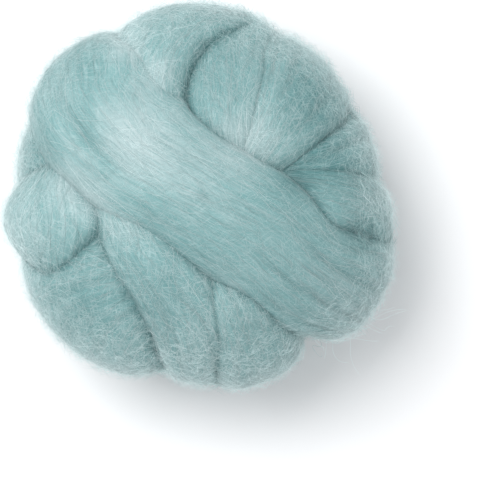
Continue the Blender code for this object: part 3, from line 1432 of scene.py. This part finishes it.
@dataclass(frozen=True)
class WoolFinish:
    """Combed, dyed wool: matt and soft, a little paler at grazing angles, streaked along its fibres.

    Five colours go from the shadow in a crease to the frost of a stray hair, and single fibres go through
    them at fibre_tones. The tone of a roll is floor, plus roll_painted_light times the painted light that
    its mesh stores, plus its drifts and locks. strays are thin pale lines where loose hairs lie over it, a
    layer of them at each of slants, in radians. glow is the colour of a painted glow on single fibres, which
    stands in for the light that comes through them.
    """

    name: str
    shadow: Colour = (0.048, 0.145, 0.150, 1)
    deep: Colour = (0.087, 0.226, 0.230, 1)
    teal: Colour = (0.194, 0.359, 0.361, 1)
    pale: Colour = (0.378, 0.479, 0.485, 1)
    frost: Colour = (0.765, 0.875, 0.877, 1)
    glow: Colour = (0.640, 0.800, 0.795, 1)
    roughness: float = 0.6
    specular: float = 0.35
    sheen: float = 0.3
    sheen_roughness: float = 0.4
    sheen_tint: Colour = (0.91, 0.905, 0.925, 1)
    softness: float = 0.15
    softness_reach: float = 2.5 * MM
    softness_tint: tuple[float, float, float] = (1.0, 1.3, 1.3)
    roll_painted_light: float = 0.55
    floor: float = 0.45
    drifts: Streaks = Streaks(15 * MM, 45 * MM, 0.5, 0, 2)
    locks: Streaks = Streaks(2.4 * MM, 36 * MM, 0.45, 10, 2)
    hairs: Streaks = Streaks(0.30 * MM, 15 * MM, 0.5, 20, 2)
    sway: Streaks = Streaks(9 * MM, 22 * MM, 4 * MM, 40, 1)
    strays: Streaks = Streaks(0.34 * MM, 5.5 * MM, 0.2, 60)
    slants: tuple[float, ...] = (0.55, -0.5, 1.1)
    slant_seed: int = 7
    to_pale: Fade = Fade(0.5, 1.0)
    dark_hairs: Fade = Fade(0.5, 0.25, 0.65)
    pale_hairs: Fade = Fade(0.52, 0.75, 0.6)
    stray_line: Fade = Fade(0.62, 0.74)
    crease_shade_weight: float = 0.85
    lock_height: float = 0.3
    bump_strength: float = 0.35
    bump_height: float = 0.25 * MM
    fibre_tones: tuple[float, ...] = (-0.25, 0.1, 0.4, 0.7, 1.0)

    def everywhere(self) -> dict[str, object]:
        """What is the same all over the wool.

        Returns:
            The values of its shader's inputs.
        """
        return {
            "Roughness": self.roughness,
            "Specular IOR Level": self.specular,
            "Sheen Weight": self.sheen,
            "Sheen Roughness": self.sheen_roughness,
            "Sheen Tint": self.sheen_tint,
            "Subsurface Weight": self.softness,
            "Subsurface Radius": self.softness_tint,
            "Subsurface Scale": self.softness_reach,
        }

    def crossing(self, graph: Graph, across: Wire, along: Wire, seed: float) -> Wire:
        """Thin pale lines where loose hairs lie aslant over the combed wool.

        Args:
            graph: The material's nodes.
            across: Metres across the sliver.
            along: Metres along it.
            seed: Which wool it is.

        Returns:
            1 on a hair and 0 between them.
        """
        found = None
        for layer, slant in enumerate(self.slants):
            sideways = across * math.cos(slant) + along * math.sin(slant)
            forward = along * math.cos(slant) - across * math.sin(slant)
            level = graph.noise(sideways, forward, self.strays, seed + self.slant_seed * layer)
            line = graph.fade(level, self.stray_line)
            found = line if found is None else found.maths("MAXIMUM", found, line)
        return found

    def on_roll(self, seed: float, frizz: float) -> bpy.types.Material:
        """The finish of a roll, whose streaks follow its map.

        Args:
            seed: Which streaks it has.
            frizz: How much loose hair lies over it, from 0 to 1.

        Returns:
            The material.
        """
        material, graph = new_material(f"{self.name}_{seed:g}")
        place = graph.node("ShaderNodeUVMap", {"uv_map": ALONG_MAP}, {})
        parts = graph.node("ShaderNodeSeparateXYZ", {}, {0: place.outputs[0]})
        straight, along = (Wire(graph, parts.outputs[axis]) for axis in range(2))
        across = straight + graph.noise(straight, along, self.sway, seed) * self.sway.strength
        drifts = graph.noise(across, along, self.drifts, seed) - 0.5
        locks = graph.noise(across, along, self.locks, seed) - 0.5
        hairs = graph.noise(across, along, self.hairs, seed)
        strays = self.crossing(graph, across, along, seed) * (self.strays.strength * frizz)
        # The tone takes in the painted highlights and painted shade that the mesh stores
        tone = graph.own(TONE_AND_PAINTED_LIGHT) * self.roll_painted_light + drifts * self.drifts.strength
        tone = tone + locks * self.locks.strength + self.floor
        body = graph.blend(tone * 2, self.deep, self.teal)
        body = graph.blend(graph.fade(tone, self.to_pale), body, self.pale)
        # Dark hair streaks, the wool's own texture
        dark_haired = graph.blend(graph.fade(hairs, self.dark_hairs), body, self.deep)
        # Painted shade in the creases, towards the shadow colour
        crease_shaded = graph.blend(graph.own(PAINTED_CREASE_SHADE) * self.crease_shade_weight, dark_haired, self.shadow)
        # Pale hair streaks, the wool's own texture
        pale_haired = graph.blend(graph.fade(hairs, self.pale_hairs), crease_shaded, self.pale)
        height = hairs * self.hairs.strength + locks * self.lock_height
        bump = {"Strength": self.bump_strength, "Distance": self.bump_height, "Height": height}
        normal = graph.node("ShaderNodeBump", {}, bump).outputs[0]
        varied = {"Base Color": graph.blend(strays, pale_haired, self.frost), "Normal": normal}
        graph.surface(self.everywhere() | varied)
        return material

    def on_fibres(self, kind: str, strength: float) -> bpy.types.Material:
        """The finish of single fibres, each with a shade of its own.

        Args:
            kind: What the fibres are called.
            How strongly they glow, a painted stand-in for the studio's light shining through them.

        Returns:
            The material.
        """
        material, graph = new_material(f"{self.name}_{kind}")
        shade = graph.own(TONE_AND_PAINTED_LIGHT)
        tint = self.shadow
        paler = (self.deep, self.teal, self.pale, self.frost)
        for start, full, next_tint in zip(self.fibre_tones, self.fibre_tones[1:], paler):
            tint = graph.blend(graph.fade(shade, Fade(start, full)), tint, next_tint)
        # Painted glow: emission stands in for light that comes through single fibres
        through = {"Emission Strength": strength, "Emission Color": self.glow, "Subsurface Weight": 0}
        graph.surface(self.everywhere() | through | {"Base Color": tint})
        return material


@dataclass(frozen=True)
class TableFinish:
    """The pale, matt coat of the table."""

    colour: Colour = (0.875, 0.875, 0.882, 1)
    roughness: float = 0.7
    specular: float = 0.2

    def coat(self) -> bpy.types.Material:
        """Makes the table's finish.

        Returns:
            The material.
        """
        material, graph = new_material("pale_table")
        matt = {"Roughness": self.roughness, "Specular IOR Level": self.specular}
        graph.surface({"Base Color": self.colour} | matt)
        return material


@dataclass
class WoolRoving:
    """The whole ball: its core, its rolls, and the fibres over them.

    The loose fibres and the fuzz come in two lots: the first lies all over the ball, and the fuzz of the
    second only below the tilt side_fuzz_from, in degrees. Combed fibres are left out where they lie deeper
    in the wool than sunk, or nowhere above lowest_fibre, and no fibre comes nearer to the table than
    clearance. fibre_painted_light and crease_shade_weight are how far a fibre's shade takes on the painted
    light and the painted crease shade of the wool under it, and the two glows how strongly the loose fibres
    and those at the rim glow, a painted stand-in for light that comes through them.
    """

    ball: Ball = field(default_factory=Ball)
    finish: WoolFinish = field(default_factory=lambda: WoolFinish("combed_wool"))
    combed: Spindle = field(default_factory=lambda: Spindle(steps=7))
    loose: Spindle = field(default_factory=lambda: Spindle(steps=10))
    short: Spindle = field(default_factory=lambda: Spindle(steps=3))
    long: Spindle = field(default_factory=lambda: Spindle(steps=20))
    loose_count: int = 1300
    fuzz_count: int = 14500
    side_fuzz_from: float = 58
    lots: int = 2
    sunk: float = 0.35 * MM
    lowest_fibre: float = 1.5 * MM
    clearance: float = 0.1 * MM
    fibre_painted_light: float = 0.3
    crease_shade_weight: float = 0.7
    stray_glow: float = 0.12
    rim_glow: float = 0.26
    core_detail: int = 4
    core_seed: float = 90
    seed: int = 4
    seed_step: int = 100
    pieces: list[bpy.types.Object] = field(default_factory=list)

    def build(self) -> None:
        """Makes and dresses every piece of the ball."""
        rolls = [
            Roll(name, stations, self.ball, self.seed + self.seed_step * number, FURROWS.get(name, ()))
            for number, (name, stations) in enumerate(TURNS.items())
        ]
        skins = [roll.skin() for roll in rolls]
        outside = Outside(self.ball.middle(), skins)
        self.dress(self.core(), self.finish.on_roll(self.core_seed, FULL_FRIZZ))
        for number, skin in enumerate(skins):
            places = vertices_of(skin.data)
            # Each roll stores its painted light, then its painted crease shade
            write_values(skin.data, TONE_AND_PAINTED_LIGHT, outside.shade(places))
            write_values(skin.data, PAINTED_CREASE_SHADE, outside.crease_shade_at(places))
            self.dress(skin, self.finish.on_roll(float(number), FRIZZ.get(skin.name, FULL_FRIZZ)))
        wool = self.finish.on_fibres("fibres", 0)
        for number, roll in enumerate(rolls):
            strands = CombedCoat(roll, self.combed).strands(np.random.default_rng(self.seed + number))
            self.lay(f"{roll.name}_fibres", self.combed, self.shown(strands, outside), outside, wool)
        self.fluff(outside)

    def fluff(self, outside: Outside) -> None:
        """Lays the fibres that belong to no roll.

        Args:
            outside: The wool that they lie on.
        """
        dice = np.random.default_rng(self.seed)
        stray = self.finish.on_fibres("strays", self.stray_glow)
        rim = self.finish.on_fibres("rim", self.rim_glow)
        for lot in range(1, self.lots + 1):
            loose = Crawlers(outside, self.loose, HABITS[Lay.LOOSE], self.loose_count).strands(dice)
            self.lay(f"loose_fibres_{lot}", self.loose, loose, outside, stray)
            highest = self.side_fuzz_from * (lot - 1)
            fuzz = Crawlers(outside, self.short, HABITS[Lay.FUZZ], self.fuzz_count, highest).strands(dice)
            self.lay(f"fuzz_{lot}", self.short, fuzz, outside, stray if lot == 1 else rim)
        flyaways = Flyaways(self.ball.middle(), self.long).strands(dice)
        self.lay("flyaways", self.long, flyaways, outside, rim)

    def lay(
        self, name: str, spindle: Spindle, strands: Strands, outside: Outside, wool: bpy.types.Material
    ) -> None:
        """Makes one piece of fibres, with the painted light and crease shade of the wool they lie on.

        Args:
            name: The piece's name.
            spindle: The shape of a fibre.
            strands: The fibres.
            outside: The wool that they lie on.
            wool: Their finish.
        """
        middles = strands.points[:, strands.points.shape[1] // 2]
        # Each fibre takes on the painted light and painted crease shade of the wool under it
        strands.shades += self.fibre_painted_light * outside.shade(middles)
        strands.shades -= self.crease_shade_weight * outside.crease_shade_at(middles)
        strands.points[..., 2] = np.maximum(strands.points[..., 2], self.clearance)
        piece = spindle.spun(name, strands)
        piece.visible_shadow = False
        self.dress(piece, wool)

    def shown(self, strands: Strands, outside: Outside) -> Strands:
        """Leaves out what another roll or the table hides.

        Args:
            strands: The combed fibres of one roll.
            outside: The wool of the whole ball.

        Returns:
            The fibres of which some part shows.
        """
        high = strands.points[..., 2].max(axis=1) > self.lowest_fibre
        out = outside.shows(strands.points[:, 1:-1:2], self.sunk).any(axis=1)
        return strands.kept(high & out)

    def core(self) -> bpy.types.Object:
        """Makes the soft middle of the ball.

        Returns:
            The piece.
        """
        middle = bmesh.new()
        bmesh.ops.create_icosphere(middle, subdivisions=self.core_detail, radius=1)
        sizes = (self.ball.core_radius, self.ball.core_radius, self.ball.core_half_height)
        bmesh.ops.scale(middle, verts=middle.verts, vec=sizes)
        for vertex in middle.verts:
            vertex.co = Vector(self.ball.seat(np.array(vertex.co)))
        lay_map(middle, {vertex: vertex.co.xz for vertex in middle.verts})
        return make_piece("core", middle)

    def dress(self, piece: bpy.types.Object, material: bpy.types.Material) -> None:
        """Gives a piece its material and its place in the frame.

        Args:
            piece: The piece.
            material: Its finish.
        """
        piece.data.materials.clear()
        piece.data.materials.append(material)
        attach(piece, BODY)
        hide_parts(BALL_NODE)
        self.pieces.append(piece)


@dataclass(frozen=True)
class Studio:
    """A pale table under soft light, seen from straight above as in the photograph.

    photo_size and ball_pixel, the middle of the ball, are in pixels of the photograph, from its upper left.
    pixel is how large one of them is at ball_height, the level at which the ball is widest, in metres.
    """

    photo_size: tuple[float, float] = (488, 480)
    ball_pixel: tuple[float, float] = (203.5, 195)
    pixel: float = 0.3053 * MM
    ball_height: float = 42 * MM
    lens: float = 500
    sensor: float = 36
    view_depth: float = 50
    table_size: float = 12
    table_finish: TableFinish = TableFinish()
    sky_colour: Colour = (0.972, 0.984, 1.0, 1)
    sky_strength: float = 0.80
    key_power: float = 27.5
    key_size: float = 1.05
    key_place: tuple[float, float, float] = (-0.66, 0.56, 1.68)

    def camera(self, ball: Ball) -> None:
        """Sets the camera so that a pixel at the ball's widest level is as large as in the photograph.

        Args:
            ball: The ball, for its middle.
        """
        width, height = self.photo_size
        rise = width * self.pixel * self.lens / self.sensor
        right = (width / 2 - self.ball_pixel[0]) * self.pixel
        down = (height / 2 - self.ball_pixel[1]) * self.pixel
        seen = bpy.data.cameras.new("camera")
        seen.lens = self.lens
        seen.sensor_width = self.sensor
        seen.clip_end = self.view_depth
        camera = new_object("camera", seen)
        camera.location = ball.middle() + Vector((right, -down, 0))
        camera.location.z = self.ball_height + rise
        bpy.context.scene.camera = camera

    def table(self) -> None:
        """Lays the pale table."""
        top = bmesh.new()
        bmesh.ops.create_grid(top, x_segments=1, y_segments=1, size=self.table_size / 2)
        piece = make_piece("table", top)
        piece.data.materials.append(self.table_finish.coat())

    def lights(self) -> None:
        """Sets one broad lamp over the upper left, and an even pale sky."""
        lamp = bpy.data.lights.new("key", "AREA")
        lamp.size = self.key_size
        lamp.energy = self.key_power
        key = new_object("key", lamp)
        key.location = self.key_place
        key.rotation_mode = "QUATERNION"
        key.rotation_quaternion = Vector(self.key_place).to_track_quat("Z", "Y")
        world = bpy.data.worlds.new("sky")
        world.use_nodes = True
        sky = world.node_tree.nodes["Background"]
        sky.inputs["Color"].default_value = self.sky_colour
        sky.inputs["Strength"].default_value = self.sky_strength
        bpy.context.scene.world = world
        bpy.context.scene.view_settings.view_transform = "Standard"


def main() -> None:
    """Builds the ball and the studio."""
    logging.basicConfig(level=logging.INFO, format="%(message)s")
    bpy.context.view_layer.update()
    roving = WoolRoving()
    roving.build()
    for piece in roving.pieces:
        triangles = sum(len(face.vertices) - 2 for face in piece.data.polygons)
        log.info("%s: %d triangles", piece.name, triangles)
    studio = Studio()
    studio.table()
    studio.lights()
    studio.camera(roving.ball)


if __name__ == "__main__":
    main()
